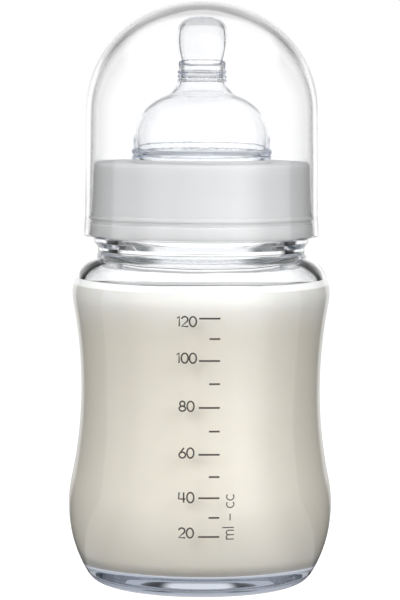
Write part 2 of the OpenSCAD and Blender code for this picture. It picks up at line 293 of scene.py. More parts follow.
def group(name, inputs, outputs):
    """A shader node group with named sockets, and its input and output nodes."""
    tree = bpy.data.node_groups.new(name, "ShaderNodeTree")
    for label, value in inputs.items():
        socket = tree.interface.new_socket(label, in_out="INPUT",
                                           socket_type="NodeSocketFloat")
        socket.default_value = value
    for label in outputs:
        tree.interface.new_socket(label, in_out="OUTPUT", socket_type="NodeSocketFloat")
    return tree, tree.nodes.new("NodeGroupInput").outputs, tree.nodes.new("NodeGroupOutput")


GRAIN_HEIGHT = 0.06  # beside dips of height 1
skin, given, out = group("moulded skin",
                         {"Grain per metre": 1500.0, "Dips per metre": 60.0,
                          "Roughness": 0.3, "Unevenness": 0.1},
                         ("Roughness", "Height"))
place, axes = object_place(skin)
grain = wired(skin, "ShaderNodeTexNoise", {"Vector": place, "Detail": 2.0,
              "Scale": given["Grain per metre"]}).outputs["Fac"]
dips = wired(skin, "ShaderNodeTexNoise", {"Vector": place, "Detail": 1.0,
             "Scale": given["Dips per metre"]}).outputs["Fac"]
swing = math(skin, "MULTIPLY_ADD", given["Unevenness"],
             math(skin, "SUBTRACT", dips, 0.5), given["Roughness"])
skin.links.new(swing, out.inputs["Roughness"])
skin.links.new(math(skin, "MULTIPLY_ADD", grain, GRAIN_HEIGHT, dips),
               out.inputs["Height"])
print("moulded skin:", len(skin.nodes), "nodes")

# %% [markdown]
# ## Clear materials
#
# Glass, silicone and clear plastic bend light by their refractive index: 1.52 for
# the glass, 1.41 for silicone and 1.49 for the hood. Light that Cycles sends to a
# lamp can't bend, so behind a refracting skin everything would lie in full shadow.
# Each clear material lets those shadow rays straight through, dimmed a little, and
# the milk is lit as it is in life. Inside, each soaks up a little of the light on its
# way, so thick places turn grey or blue: an edge that is seen end on is the thickest
# place of all. The glass has slow waves from blowing, stretched along the bottle.

# %% A material shell and the clear finish
def finish(name):
    """A new material, its node tree, its Principled shader and its output."""
    material = bpy.data.materials.new(name)
    material.use_nodes = True
    tree = material.node_tree
    return material, tree, tree.nodes["Principled BSDF"], tree.nodes["Material Output"]


def set_sockets(shader, values):
    for key, value in values.items():
        shader.inputs[key].default_value = value


def clear(shader, colour, index):
    """Make a Principled shader clear, with a refractive index."""
    set_sockets(shader, {"Base Color": (*colour, 1), "IOR": index,
                         "Transmission Weight": 1.0})


def let_light_in(tree, shader, output, dimmed, body, density):
    """Lamp rays pass straight through; thick places take on the colour `body`."""
    soak = wired(tree, "ShaderNodeVolumeAbsorption", {"Color": (*body, 1),
                                                      "Density": density})
    tree.links.new(soak.outputs[0], output.inputs["Volume"])
    straight = wired(tree, "ShaderNodeBsdfTransparent", {"Color": (*dimmed, 1)})
    path = wired(tree, "ShaderNodeLightPath").outputs["Is Shadow Ray"]
    tree.links.new(mixed(tree, path, shader, straight).outputs[0],
                   output.inputs["Surface"])


def moulded(tree, shader, grain, dips, roughness, uneven, depth):
    """Put the moulded skin under a shader; depth is the bump's height in metres."""
    node = wired(tree, "ShaderNodeGroup", node_tree=skin)
    for key, value in (("Grain per metre", grain), ("Dips per metre", dips),
                       ("Roughness", roughness), ("Unevenness", uneven)):
        node.inputs[key].default_value = value
    bump = wired(tree, "ShaderNodeBump", {"Height": node.outputs["Height"],
                                          "Strength": 1.0, "Distance": depth})
    tree.links.new(node.outputs["Roughness"], shader.inputs["Roughness"])
    tree.links.new(bump.outputs[0], shader.inputs["Normal"])


# %% Bottle glass
GLASS_INDEX, SILICONE_INDEX, HOOD_INDEX = 1.52, 1.41, 1.49
WAVES_PER_METRE, WAVE_HEIGHT = 90.0, 0.00012

glass, tree, shader, output = finish("bottle glass")
clear(shader, (0.995, 0.997, 1.0), GLASS_INDEX)
set_sockets(shader, {"Roughness": 0.0})
place, axes = object_place(tree)
stretch = wired(tree, "ShaderNodeMapping", {"Vector": place, "Scale": (1, 1, 0.6)})
waves = wired(tree, "ShaderNodeTexNoise", {"Vector": stretch.outputs[0], "Detail": 1.0,
                                           "Scale": WAVES_PER_METRE, "Roughness": 0.3})
bump = wired(tree, "ShaderNodeBump", {"Height": waves.outputs["Fac"], "Strength": 1.0,
                                      "Distance": WAVE_HEIGHT})
tree.links.new(bump.outputs[0], shader.inputs["Normal"])
let_light_in(tree, shader, output, dimmed=(0.97, 0.985, 0.985),
             body=(0.27, 0.33, 0.42), density=9.0)

# %% Clear silicone and clear plastic
silicone, tree, shader, output = finish("clear silicone")
clear(shader, (0.997, 0.997, 0.997), SILICONE_INDEX)
moulded(tree, shader, grain=1400.0, dips=110.0, roughness=0.015, uneven=0.01,
        depth=0.00003)
let_light_in(tree, shader, output, dimmed=(0.93, 0.935, 0.945),
             body=(0.30, 0.42, 0.62), density=45.0)

clear_plastic, tree, shader, output = finish("clear hood plastic")
clear(shader, (0.997, 0.997, 0.997), HOOD_INDEX)
moulded(tree, shader, grain=2200.0, dips=45.0, roughness=0.015, uneven=0.02,
        depth=0.00005)
let_light_in(tree, shader, output, dimmed=(0.97, 0.975, 0.98),
             body=(0.5, 0.5, 0.515), density=60.0)

# %% [markdown]
# ## Collar plastic
#
# The collar is white polypropylene: dense, a little waxy, with a satin skin, so all of
# its light comes from under the surface. Its inside is never lit by a lamp, yet the
# neck bends it into view. So the inside gets painted light: a white glow that only rays
# through the glass see, in place of the light that seeps through real plastic. The
# painted glow fades to the left and right, which paints the dark of the room that the
# neck shows there.

# %% Collar plastic
# Painted light: a white glow is painted on the collar's inside up to its roof. It fades out
# between the two side distances, as painted shade.
SKIRT_IN, COLLAR_ROOF = 23.3, 97.0  # where the glow inside the collar ends
PAINTED_INSIDE_GLOW, PAINTED_GLOW_SIDES = 0.95, (13, 18)
MANY_BOUNCES = 9.5  # past these a ray is lost in the glass, and the fade doesn't count


def behind_glass(tree, shader, glow, path):
    """Painted light: a white glow, from no lamp, that is seen only through clear material.
    """
    through = product(tree, path["Is Transmission Ray"],
                      math(tree, "LESS_THAN", path["Diffuse Depth"], 0.5))
    shader.inputs["Emission Color"].default_value = (1, 1, 1, 1)
    tree.links.new(product(tree, glow, through), shader.inputs["Emission Strength"])


white_plastic, tree, shader, output = finish("white collar plastic")
set_sockets(shader, {"Base Color": (0.87, 0.87, 0.87, 1), "Subsurface Weight": 1.0,
                     "Subsurface Radius": (1.0, 1.0, 1.0), "Subsurface Scale": 0.003,
                     "IOR": 1.49, "Specular IOR Level": 0.12})
moulded(tree, shader, grain=1800.0, dips=70.0, roughness=0.38, uneven=0.10,
        depth=0.00003)
place, axes = object_place(tree)
from_axis = math(tree, "SQRT", math(tree, "MULTIPLY_ADD", axes["X"], axes["X"],
                                    product(tree, axes["Y"], axes["Y"])))
# Painted light: the glow covers the inside of the collar below its roof.
inner = product(tree, ramp(tree, from_axis, SKIRT_IN * MM, (SKIRT_IN + 0.3) * MM,
                           PAINTED_INSIDE_GLOW, 0.0),
                ramp(tree, axes["Z"], COLLAR_ROOF * MM, (COLLAR_ROOF + 0.4) * MM, 1.0, 0.0))
path = wired(tree, "ShaderNodeLightPath").outputs
# Painted shade: the glow fades to the left and right of the collar.
middle = ramp(tree, math(tree, "ABSOLUTE", axes["X"]), PAINTED_GLOW_SIDES[0] * MM,
              PAINTED_GLOW_SIDES[1] * MM, 1.0, 0.0)
across = math(tree, "MAXIMUM", math(tree, "GREATER_THAN", path["Ray Depth"],
                                    MANY_BOUNCES), middle)
behind_glass(tree, shader, product(tree, inner, across), path)
print("collar plastic glows inside from", COLLAR_ROOF, "mm down")

# %% [markdown]
# ## Milk
#
# Milk is bright because light wanders about in it, so it gets a subsurface scatter. Its
# top gets painted light: it is painted whiter than the warm milk under it, with a ragged
# edge, where light comes in through the empty shoulder, and its top edge gets a painted
# glow that only rays through the glass see. Glass is denser than milk, so light that
# meets the milk at a shallow angle inside the glass is mirrored: that is why the floor
# of a full bottle stays clear. The mix by Fresnel does this. Near the floor the mirror
# is painted grey-blue, as painted shade in the foot. A ray that was mirrored to and fro
# in the thick foot would use up its bounces and turn black, so it ends in a pale even
# painted glow instead.

# %% Milk
MILK_INDEX = 1.35
MILK_TOP = span("milk")[1].z
# Painted light: the milk is painted whiter over these heights, with a ragged edge.
PAINTED_TOP_LOW, PAINTED_TOP_HIGH, PAINTED_TOP_RAGGED = 60.0, 70.5, 3.0
# Painted light: a glow on the milk's top edge, seen only through glass.
PAINTED_SURFACE_GLOW = 0.35
# Painted shade: the milk's mirror turns grey-blue below the first two heights. Painted
# light: below the foot's top, bounced rays end in a glow.
MIRROR_LOW, MIRROR_HIGH, FOOT_TOP = 5.5, 7.5, 12.0

milk_white, tree, shader, output = finish("warm milk")
set_sockets(shader, {"Subsurface Weight": 0.5, "Subsurface Radius": (1.0, 0.85, 0.7),
                     "Subsurface Scale": 0.002, "Roughness": 0.3, "IOR": MILK_INDEX,
                     "Specular IOR Level": 0.0})
place, axes = object_place(tree)
high = axes["Z"]
# Painted light: the milk is whiter towards the top, where light comes in through the empty
# shoulder.
cloud = wired(tree, "ShaderNodeTexNoise", {"Vector": place, "Scale": 70.0,
                                           "Detail": 3.0}).outputs["Fac"]
edge = math(tree, "MULTIPLY_ADD", cloud, PAINTED_TOP_RAGGED * MM, high)
painted_top_light = ramp(tree, edge, PAINTED_TOP_LOW * MM, PAINTED_TOP_HIGH * MM)
tree.links.new(blend(tree, painted_top_light, (0.78, 0.738, 0.652), (0.93, 0.912, 0.875)),
               shader.inputs["Base Color"])
path = wired(tree, "ShaderNodeLightPath").outputs
# Painted light: the top edge of the milk glows, for rays through glass only.
behind_glass(tree, shader, ramp(tree, high, (MILK_TOP - 0.6) * MM, (MILK_TOP - 0.1) * MM,
                                0.0, PAINTED_SURFACE_GLOW), path)
# Painted shade: the mirror is grey-blue near the floor and white above.
under = blend(tree, ramp(tree, high, MIRROR_LOW * MM, MIRROR_HIGH * MM),
              (0.77, 0.795, 0.84), (1, 1, 1))
mirror = wired(tree, "ShaderNodeBsdfAnisotropic", {"Color": under, "Roughness": 0.0})
grazing = wired(tree, "ShaderNodeFresnel", {"IOR": MILK_INDEX / GLASS_INDEX})
wet = mixed(tree, grazing.outputs[0], shader, mirror)
# Painted light: below the foot's top, rays past the first bounce end in a pale even glow.
lost = product(tree, math(tree, "GREATER_THAN", path["Ray Depth"], 1.5),
               math(tree, "LESS_THAN", high, FOOT_TOP * MM))
pale = wired(tree, "ShaderNodeEmission", {"Color": (0.76, 0.785, 0.84, 1)})
tree.links.new(mixed(tree, lost, wet, pale).outputs[0], output.inputs["Surface"])
print("milk froth from", PAINTED_TOP_LOW, "to", round(MILK_TOP, 1), "mm")

# %% [markdown]
# ## Printed enamel
#
# The print is enamel fired onto the glass. It is brown-black, and uneven where the
# screen laid it thinner.

# %% Printed enamel
enamel, tree, shader, output = finish("fired enamel print")
set_sockets(shader, {"Roughness": 0.55})
place, axes = object_place(tree)
worn = wired(tree, "ShaderNodeTexNoise", {"Vector": place, "Scale": 2500.0,
                                          "Detail": 2.0}).outputs["Fac"]
tree.links.new(blend(tree, worn, (0.030, 0.025, 0.021), (0.075, 0.064, 0.055)),
               shader.inputs["Base Color"])
print("materials:", [m.name for m in (glass, silicone, clear_plastic, white_plastic,
                                      milk_white, enamel)])

# %% [markdown]
# ## The glass body
#
# A baby bottle is blown into a mould and its neck is pressed, so the wall is thick:
# three millimetres at the belly, less at the shoulder. Two sides are drawn, outer
# and inner, each as arcs that run smoothly into one another: a heel, a bulge, a
# hollow waist, the upper bulge and the roll of the shoulder. The same function draws
# both, the inner one with the walls taken off.

# %% The waisted side
BELLY, BELLY_Z, BELLY_ROUND = 30.5, 18.4, 30.4
WAIST, WAIST_Z = 27.7, 45.2
SHOULDER, SHOULDER_Z, SHOULDER_ROUND = 29.8, 67.379, 10.0
BELLY_WALL, WAIST_WALL, SHOULDER_WALL = 3.2, 3.3, 2.3
HEEL, PUSH_UP, FLOOR, FLOOR_ROUND = 5.8, 1.6, 5.5, 4.5
NECK, FINISH, BORE, RIM, RIM_ROUND = 23.9, 21.9, 19.4, 94.2, 0.7
THROAT_ROUND, FOOT_RING = 2.5, 1.6
BEAD, BEAD_LOW, BEAD_TOP = 24.8, 79.0, 80.3


def hollow(rise, step, bulge):
    """Radius of a hollow curve that runs into a bulge of radius `bulge`."""
    return (rise * rise + step * step) / (2 * step) - bulge


def draw_side(pen, wall, low_z, low_round, top):
    """Draw one side from its heel to where the shoulder is `top` from the axis.

    wall is the glass taken off at the belly, the waist and the shoulder."""
    belly, waist = BELLY - wall[0], WAIST - wall[1]
    shoulder, round_in = SHOULDER - wall[2], SHOULDER_ROUND - wall[2]
    bulge = BELLY_ROUND - wall[0]
    low = hollow(WAIST_Z - BELLY_Z, belly - waist, bulge)
    high = hollow(SHOULDER_Z - WAIST_Z, shoulder - waist, round_in)
    b, s = (belly - bulge, BELLY_Z), (shoulder - round_in, SHOULDER_Z)
    w, v = (waist + low, WAIST_Z), (waist + high, WAIST_Z)
    heel_z = low_z + low_round
    heel = (b[0] + sqrt((bulge - low_round) ** 2 - (BELLY_Z - heel_z) ** 2), heel_z)
    pen.line((heel[0], low_z))
    pen.bend(heel, angle_of(b, heel)).bend(b, angle_of(b, w))
    pen.bend(w, 180).bend(v, angle_of(v, s))
    pen.bend(s, degrees(acos((top - s[0]) / round_in)))


def glass_outside(pen):
    """The outer side, the neck and its bead, up to the foot of the finish."""
    draw_side(pen, (0, 0, 0), 0.0, HEEL, NECK)
    pen.line((NECK, BEAD_LOW - 1), (BEAD - 0.06, BEAD_LOW + 0.06))
    pen.bend((BEAD - 0.2, BEAD_LOW + 0.2), 0).line((BEAD, BEAD_TOP - 0.3))
    pen.bend((BEAD - 0.3, BEAD_TOP - 0.3), 90).line((FINISH, BEAD_TOP))


def glass_inside(pen):
    """The inner side from the floor to the foot of the bore."""
    across = BORE + THROAT_ROUND
    round_in = SHOULDER_ROUND - SHOULDER_WALL
    centre = SHOULDER - SHOULDER_WALL - round_in
    reach = across - centre
    throat = (across, SHOULDER_Z + sqrt((round_in + THROAT_ROUND) ** 2 - reach ** 2))
    meet = centre + reach * round_in / (round_in + THROAT_ROUND)
    draw_side(pen, (BELLY_WALL, WAIST_WALL, SHOULDER_WALL), FLOOR, FLOOR_ROUND, meet)
    pen.bend(throat, 180)


# %% [markdown]
# ## Turning the glass
#
# The foot is hollowed by a shallow dish, so the bottle stands on a ring. The outline
# runs from the dish up the outer side, over the rim and down the inner side to the
# floor. The thread is drawn as a ridge and joined to the finish.

# %% Turn the glass and add its thread
side_line = Outline(0, 0)
glass_outside(side_line)
SIDE = side_line.points()
side_line.bm.free()
foot_edge = SIDE[1][0] - FOOT_RING
dish = (foot_edge ** 2 + PUSH_UP ** 2) / (2 * PUSH_UP)
pen = Outline(0, PUSH_UP)
pen.bend((0, PUSH_UP - dish), 90 - degrees(asin(foot_edge / dish)))
glass_outside(pen)
rim_centre = RIM - RIM_ROUND
pen.line((FINISH, rim_centre)).bend((FINISH - RIM_ROUND, rim_centre), 90)
pen.line((BORE + RIM_ROUND, RIM)).bend((BORE + RIM_ROUND, rim_centre), 180)
bore_top = pen.pen
glass_inside(pen.lift(0, FLOOR))
pen.bm.edges.new((pen.pen, bore_top))
THREAD_BELOW_RIM = 2.3
GLASS_THREAD = RIM - THREAD_BELOW_RIM - THREAD_RISE
shape = combined(turned(pen), screw_ridge(FINISH, 1, GLASS_THREAD), "UNION")
finished(shape, "bottle_glass", "bottle", glass, replaces="glass_body")

# %% [markdown]
# ## The milk
#
# Milk wets the glass, so no air lies between them. Its skin is set a hair inside the
# glass: light then passes from glass straight to milk, as it does in life. At the
# edge of its surface it climbs the wall in a small meniscus: the body of milk is cut
# off at the top of the climb, and the edge is pulled in and down in four rings.

# %% Pour the milk
WETTED, CLIMB = 0.08, 0.9
MENISCUS = ((0.35, 0.45), (0.5, 0.25), (0.9, 0.17), (1.6, 0.05))  # inward, down
pen = Outline(0, FLOOR - WETTED)
draw_side(pen, (BELLY_WALL - WETTED, WAIST_WALL - WETTED, SHOULDER_WALL - WETTED),
          FLOOR - WETTED, FLOOR_ROUND, BORE + THROAT_ROUND)
shape = turned(pen)
cut = bmesh.ops.bisect_plane(shape, geom=shape.verts[:] + shape.edges[:] + shape.faces[:],
                             plane_co=(0, 0, MILK_TOP + CLIMB), plane_no=(0, 0, 1),
                             clear_outer=True)
brim = [e for e in cut["geom_cut"] if isinstance(e, bmesh.types.BMEdge)]
for inward, drop in MENISCUS:
    made = bmesh.ops.extrude_edge_only(shape, edges=brim)["geom"]
    brim = [e for e in made if isinstance(e, bmesh.types.BMEdge)]
    for v in (v for v in made if isinstance(v, bmesh.types.BMVert)):
        kept = 1 - inward / hypot(v.co.x, v.co.y)
        v.co.x, v.co.y, v.co.z = v.co.x * kept, v.co.y * kept, v.co.z - drop
bmesh.ops.contextual_create(shape, geom=brim)
bmesh.ops.recalc_face_normals(shape, faces=shape.faces[:])
finished(shape, "milk_fill", "bottle", milk_white, replaces="milk", sharp=60)

# %% [markdown]
# ## The printed scale
#
# The marks stand where twenty, thirty and more millilitres fill the bottle, so they
# come from the CAD frame and only get their enamel here. The numbers are drawn the
# same way as every outline, as strokes of a pen, in a plain round-ended hand. Each
# stroke becomes a thin cord that is pressed flat onto the glass.

# %% Give the marks their enamel and read their heights
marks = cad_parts["graduation_scale"]
marks.data.materials.clear()
marks.data.materials.append(enamel)
heights = sorted({round(v.co.z / MM, 1) for v in marks.data.vertices})
MARK_HIGH, MARKS_APART = 0.4, 0.7
feet = [z for z in heights
        if not any(0 < z - other < MARKS_APART for other in heights)]
levels = [z + MARK_HIGH / 2 for z in feet]
print(len(levels), "marks at", [round(z, 1) for z in levels], "mm")


# %% Strokes for the numbers and the unit
STROKE_STEP = 15  # degrees


def ring(x, z, wide, high, start=90, end=450):
    """Points of an ellipse or a part of one."""
    steps = max(6, abs(end - start) // STROKE_STEP)
    turns = [radians(start + (end - start) * i / steps) for i in range(steps + 1)]
    return [(x + wide * cos(t), z + high * sin(t)) for t in turns]


# Strokes of each sign on a body 1 high, with the width that it takes up.
SIGNS = {
    "0": (0.62, [ring(0.31, 0.5, 0.26, 0.45)]),
    "1": (0.30, [[(0.02, 0.80), (0.18, 0.95), (0.18, 0.05)]]),
    "2": (0.60, [ring(0.29, 0.69, 0.23, 0.26, 170, -35) + [(0.06, 0.05), (0.56, 0.05)]]),
    "4": (0.64, [[(0.10, 0.95), (0.06, 0.36), (0.58, 0.36)], [(0.44, 0.95), (0.44, 0.05)]]),
    "6": (0.60, [ring(0.30, 0.31, 0.24, 0.26), [(0.42, 0.95), (0.09, 0.42)]]),
    "8": (0.60, [ring(0.29, 0.72, 0.19, 0.23), ring(0.29, 0.28, 0.24, 0.23)]),
    "m": (0.86, [[(0.08, 0.05), (0.08, 0.68)],
                 [(0.08, 0.45)] + ring(0.25, 0.47, 0.17, 0.19, 180, 0) + [(0.42, 0.05)],
                 [(0.42, 0.45)] + ring(0.59, 0.47, 0.17, 0.19, 180, 0) + [(0.76, 0.05)]]),
    "l": (0.26, [[(0.12, 0.05), (0.12, 0.98)]]),
    "-": (0.80, [[(0.15, 0.36), (0.65, 0.36)]]),
    "c": (0.56, [ring(0.32, 0.35, 0.25, 0.29, 50, 310)]),
    " ": (0.25, []),
}


def written(text, high, stretch, x, z, upward=False):
    """Strokes of a text centred on (x, z), level or reading upward."""
    wide = sum(SIGNS[sign][0] for sign in text) * stretch
    strokes, pen_x = [], -wide / 2
    for sign in text:
        for stroke in SIGNS[sign][1]:
            points = [((pen_x + a * stretch) * high, (b - 0.5) * high) for a, b in stroke]
            if upward:
                points = [(-b, a) for a, b in points]
            strokes.append([(x + a, z + b) for a, b in points])
        pen_x += SIGNS[sign][0] * stretch
    return strokes


def glass_radius(z):
    """Radius of the glass's outer side at a height."""
    for (r0, z0), (r1, z1) in zip(SIDE, SIDE[1:]):
        if z0 <= z <= z1 and z1 > z0:
            return r0 + (r1 - r0) * (z - z0) / (z1 - z0)
    return NECK


def on_glass(x, z, proud):
    """A point on the front of the glass, or so far out of it."""
    return Vector((x, -sqrt(glass_radius(z) ** 2 - x * x) - proud, z))


PRINT_PROUD = 0.07
MET = 0.01  # a stroke whose ends are nearer than this is closed


def print_strokes(strokes, name, width):
    """Lay cords along strokes on the front of the glass and press them flat."""
    cord = bpy.data.curves.new(name, "CURVE")
    cord.dimensions, cord.bevel_depth, cord.bevel_resolution = "3D", width / 2, 2
    cord.use_fill_caps = True
    for stroke in strokes:
        (first_x, first_z), (last_x, last_z) = stroke[0], stroke[-1]
        closed = hypot(first_x - last_x, first_z - last_z) < MET
        points = stroke[:-1] if closed else stroke
        spline = cord.splines.new("POLY")
        spline.points.add(len(points) - 1)
        spline.use_cyclic_u = closed
        for point, (x, z) in zip(spline.points, points):
            point.co = (x, 0, z, 1)
    guide = bpy.data.objects.new(name, cord)
    bpy.context.scene.collection.objects.link(guide)
    ready = guide.evaluated_get(bpy.context.evaluated_depsgraph_get())
    bm = bmesh.new()
    bm.from_mesh(ready.to_mesh())
    bpy.data.objects.remove(guide)
    bmesh.ops.remove_doubles(bm, verts=bm.verts[:], dist=WELD / 10)
    for v in bm.verts:
        v.co = on_glass(v.co.x, v.co.z, -v.co.y / (width / 2) * PRINT_PROUD)
    bmesh.ops.recalc_face_normals(bm, faces=bm.faces[:])
    finished(bm, name, "bottle", enamel)


# %% Print the numbers
# How far the middle of each number stands above its mark.
NUMBERS = {20: 0.86, 40: 0.14, 60: 0.4, 80: 0.37, 100: 0.56, 120: -0.7}
FIRST_MARK, MARK_STEP = 20, 10  # in millilitres
strokes = []
for number, raised in NUMBERS.items():
    level = levels[(number - FIRST_MARK) // MARK_STEP]
    strokes += written(str(number), high=2.45, stretch=1.2, x=-3.1, z=level + raised)
print_strokes(strokes, "scale_numbers", width=0.36)
unit = written("ml - cc", high=2.8, stretch=1.05, x=6.3, z=19.5, upward=True)
print_strokes(unit, "scale_unit", width=0.25)

# %% [markdown]
# ## The screw collar
#
# The collar is a moulded ring: a skirt with a band and a rib at its foot, a rounded
# shoulder, a flat top with a small lip round the hole, and a thread inside. A full
# turn of its section makes it in one go.

# %% Turn the collar
COLLAR_Z, COLLAR_HIGH, COLLAR_ROUND, ROOF = 80.6, 17.0, 1.0, 1.6
BAND, RIB, RIB_FOOT, RIB_TOP = 25.7, 26.0, COLLAR_Z + 4.0, COLLAR_Z + 4.9
HOLE, LIP_HIGH = 15.5, 0.5
THREAD_GAP, FLANK_GAP = 0.3, 0.25  # beside the glass thread and under it
COLLAR_TOP = COLLAR_Z + COLLAR_HIGH

pen = Outline(SKIRT_IN, COLLAR_Z + 0.3)
pen.line((23.6, COLLAR_Z), (25.4, COLLAR_Z)).bend((25.4, COLLAR_Z + 0.3), 0)
pen.line((BAND, COLLAR_Z + 2.75)).bend((25.55, COLLAR_Z + 2.75), 90)
pen.line((25.4, COLLAR_Z + 2.95), (25.4, RIB_FOOT), (25.85, RIB_FOOT))
pen.bend((25.85, COLLAR_Z + 4.15), 0).line((RIB, COLLAR_Z + 4.7))
pen.bend((25.8, COLLAR_Z + 4.7), 90).line((25.3, RIB_TOP))
pen.line((24.9, COLLAR_TOP - COLLAR_ROUND)).bend((23.9, COLLAR_TOP - COLLAR_ROUND), 90)
pen.line((16.5, COLLAR_TOP), (16.3, COLLAR_TOP + LIP_HIGH), (15.7, COLLAR_TOP + LIP_HIGH))
pen.line((HOLE, COLLAR_TOP + 0.3), (HOLE, COLLAR_TOP - ROOF), (SKIRT_IN, COLLAR_TOP - ROOF))
pen.line((SKIRT_IN, COLLAR_Z + 0.3))
slope = (THREAD_FOOT - THREAD_CREST) / THREAD_DEPTH
between = (THREAD_FOOT + THREAD_CREST - THREAD_GAP * slope) / 2 + FLANK_GAP
shape = combined(turned(pen), screw_ridge(SKIRT_IN, -1, GLASS_THREAD - between), "UNION")
finished(shape, "screw_collar_ring", "screw_collar", white_plastic,
         replaces="collar")

# %% [markdown]
# ## The teat
#
# The teat is one piece of silicone with a flange that seals on the glass rim, a
# groove for the collar's edge, a ring, a wide dome and a stem with a bulb. Above the
# ring, its two skins are drawn by one function from the same centres, a wall apart.
# The feed hole is left open at the tip, and a vent is cut in the flange.

# %% Turn the teat
FLANGE, GROOVE, MOUTH = 21.3, 15.3, 13.8
LIP, RING, RING_TOP, TEAT_WALL = 98.1, 16.25, 100.6, 0.8
DOME, DOME_ROUND, SWEEP_ROUND, STEM = 15.85, 11.0, 4.5, 5.45
FEED_HOLE, VENT, VENT_OUT = 0.35, 0.5, 17.4
RIBS, RIB_STEP, RIBS_BELOW, RIB_PROUD = 3, 1.0, 4.4, 0.38
dome_at = (DOME - DOME_ROUND, RING_TOP + 2.4)
sweep_x = STEM + SWEEP_ROUND
sweep_at = (sweep_x, dome_at[1] + sqrt((DOME_ROUND + SWEEP_ROUND) ** 2
                                       - (sweep_x - dome_at[0]) ** 2))
STEM_TOP = sweep_at[1] + 3.4
TIP = STEM_TOP + 10.6
SIDE_ROUND, CORNER, CROWN = 16.0, 3.4, 13.0
side_at, crown_at = (STEM + 0.5 - SIDE_ROUND, TIP - 5.6), (0.0, TIP - CROWN)


def where_circles_meet(a, ra, b, rb):
    """The meeting point of two circles that lies to the left of the way a to b."""
    apart = hypot(b[0] - a[0], b[1] - a[1])
    along = (apart ** 2 + ra ** 2 - rb ** 2) / (2 * apart)
    off = sqrt(ra ** 2 - along ** 2)
    ahead = ((b[0] - a[0]) / apart, (b[1] - a[1]) / apart)
    return (a[0] + along * ahead[0] - off * ahead[1],
            a[1] + along * ahead[1] + off * ahead[0])


corner_at = where_circles_meet(side_at, SIDE_ROUND - CORNER, crown_at, CROWN - CORNER)


def teat_skin(pen, inward):
    """The teat above its ring, from the dome to the edge of the feed hole."""
    pen.bend(dome_at, angle_of(dome_at, sweep_at)).bend(sweep_at, 180)
    pen.line((STEM - inward, STEM_TOP))
    foot = degrees(asin((STEM_TOP + 0.15 - side_at[1]) / SIDE_ROUND))
    side = SIDE_ROUND - inward
    pen.line((side_at[0] + side * cos(radians(foot)),
              side_at[1] + side * sin(radians(foot))))
    pen.bend(side_at, angle_of(side_at, corner_at))
    pen.bend(corner_at, angle_of(crown_at, corner_at))
    pen.bend(crown_at, 90 - degrees(asin(FEED_HOLE / (CROWN - inward))))


pen = Outline(MOUTH, RIM)
pen.line((FLANGE, RIM)).bend((FLANGE, RIM + 0.4), 0).line((21.7, RIM + 1.4))
pen.bend((FLANGE, RIM + 1.4), 90)
pen.line((GROOVE, RIM + 1.8), (GROOVE, LIP), (RING - 0.5, LIP))
pen.line((RING - 0.1, LIP + 0.45)).bend((RING - 0.25, LIP + 0.55), 0)
pen.line((RING - 0.1, LIP + 0.8), (RING - 0.32, LIP + 1.0), (RING - 0.32, LIP + 1.15))
pen.line((RING, LIP + 1.35), (RING, RING_TOP - 0.3)).bend((RING - 0.3, RING_TOP - 0.3), 90)
pen.line((DOME - 0.1, RING_TOP), (DOME, dome_at[1]))
teat_skin(pen, 0.0)
tip_edge = pen.pen
pen.lift(MOUTH, RIM).line((MOUTH, LIP), (DOME - TEAT_WALL, dome_at[1]))
teat_skin(pen, TEAT_WALL)
pen.bm.edges.new((pen.pen, tip_edge))
shape = turned(pen)
for number in range(RIBS):
    z = STEM_TOP - RIBS_BELOW + number * RIB_STEP
    rib = Outline(STEM - 0.4, z - 0.5)
    rib.line((STEM, z - 0.42), (STEM + RIB_PROUD, z - 0.12))
    rib.bend((STEM + RIB_PROUD, z), 90)
    rib.line((STEM, z + 0.42), (STEM - 0.4, z + 0.5), (STEM - 0.4, z - 0.5))
    shape = combined(shape, turned(rib), "UNION")
vent = bmesh.new()
bmesh.ops.create_cone(vent, cap_ends=True, segments=24, radius1=VENT, radius2=VENT,
                      depth=4)
bmesh.ops.translate(vent, vec=(0, VENT_OUT, RIM + 1), verts=vent.verts[:])
shape = combined(shape, vent, "DIFFERENCE")
finished(shape, "silicone_teat", "nipple", silicone, replaces="teat")
print("teat tip at", round(TIP, 1), "mm")

# %% [markdown]
# ## The hood
#
# The hood is a clear shell, drawn outside and then inside: a flared foot that sits
# over the collar's rib, a wall that leans in a little so that it leaves its mould, a
# round corner and a flatter crown. The crown is thicker, which shows as a grey band.

# %% Turn the hood
HOOD_TOP, HOOD_WALL, CROWN_WALL = COLLAR_Z + 54, 1.3, 1.9
HOOD, HOOD_CORNER, HOOD_CROWN = 26.65, 24.7, 29.9  # radii of wall, corner and crown
HOOD_FOOT, HOOD_LOW, FLARE = 26.2, 26.9, 27.1


def hood_skin(pen, wall_r, top, corner, crown):
    """From the wall over the corner and the crown to the axis."""
    reach = wall_r - corner
    low = (0.0, top - crown)
    at = (reach, low[1] + sqrt((crown - corner) ** 2 - reach ** 2))
    pen.line((wall_r, at[1])).bend(at, angle_of(low, at)).bend(low, 90)


pen = Outline(HOOD_FOOT, COLLAR_Z)
pen.line((HOOD_LOW, COLLAR_Z), (FLARE, COLLAR_Z + 0.2), (FLARE, COLLAR_Z + 1.45))
pen.line((HOOD_LOW, RIB_TOP))
hood_skin(pen, HOOD, HOOD_TOP, HOOD_CORNER, HOOD_CROWN)
pen.lift(HOOD_FOOT, COLLAR_Z)
pen.line((HOOD_FOOT, RIB_TOP), (HOOD_LOW - HOOD_WALL, RIB_TOP))
hood_skin(pen, HOOD - HOOD_WALL, HOOD_TOP - CROWN_WALL, HOOD_CORNER - HOOD_WALL,
          HOOD_CROWN - CROWN_WALL)
finished(turned(pen, segments=160), "clear_hood", "cap", clear_plastic,
         replaces="hood")

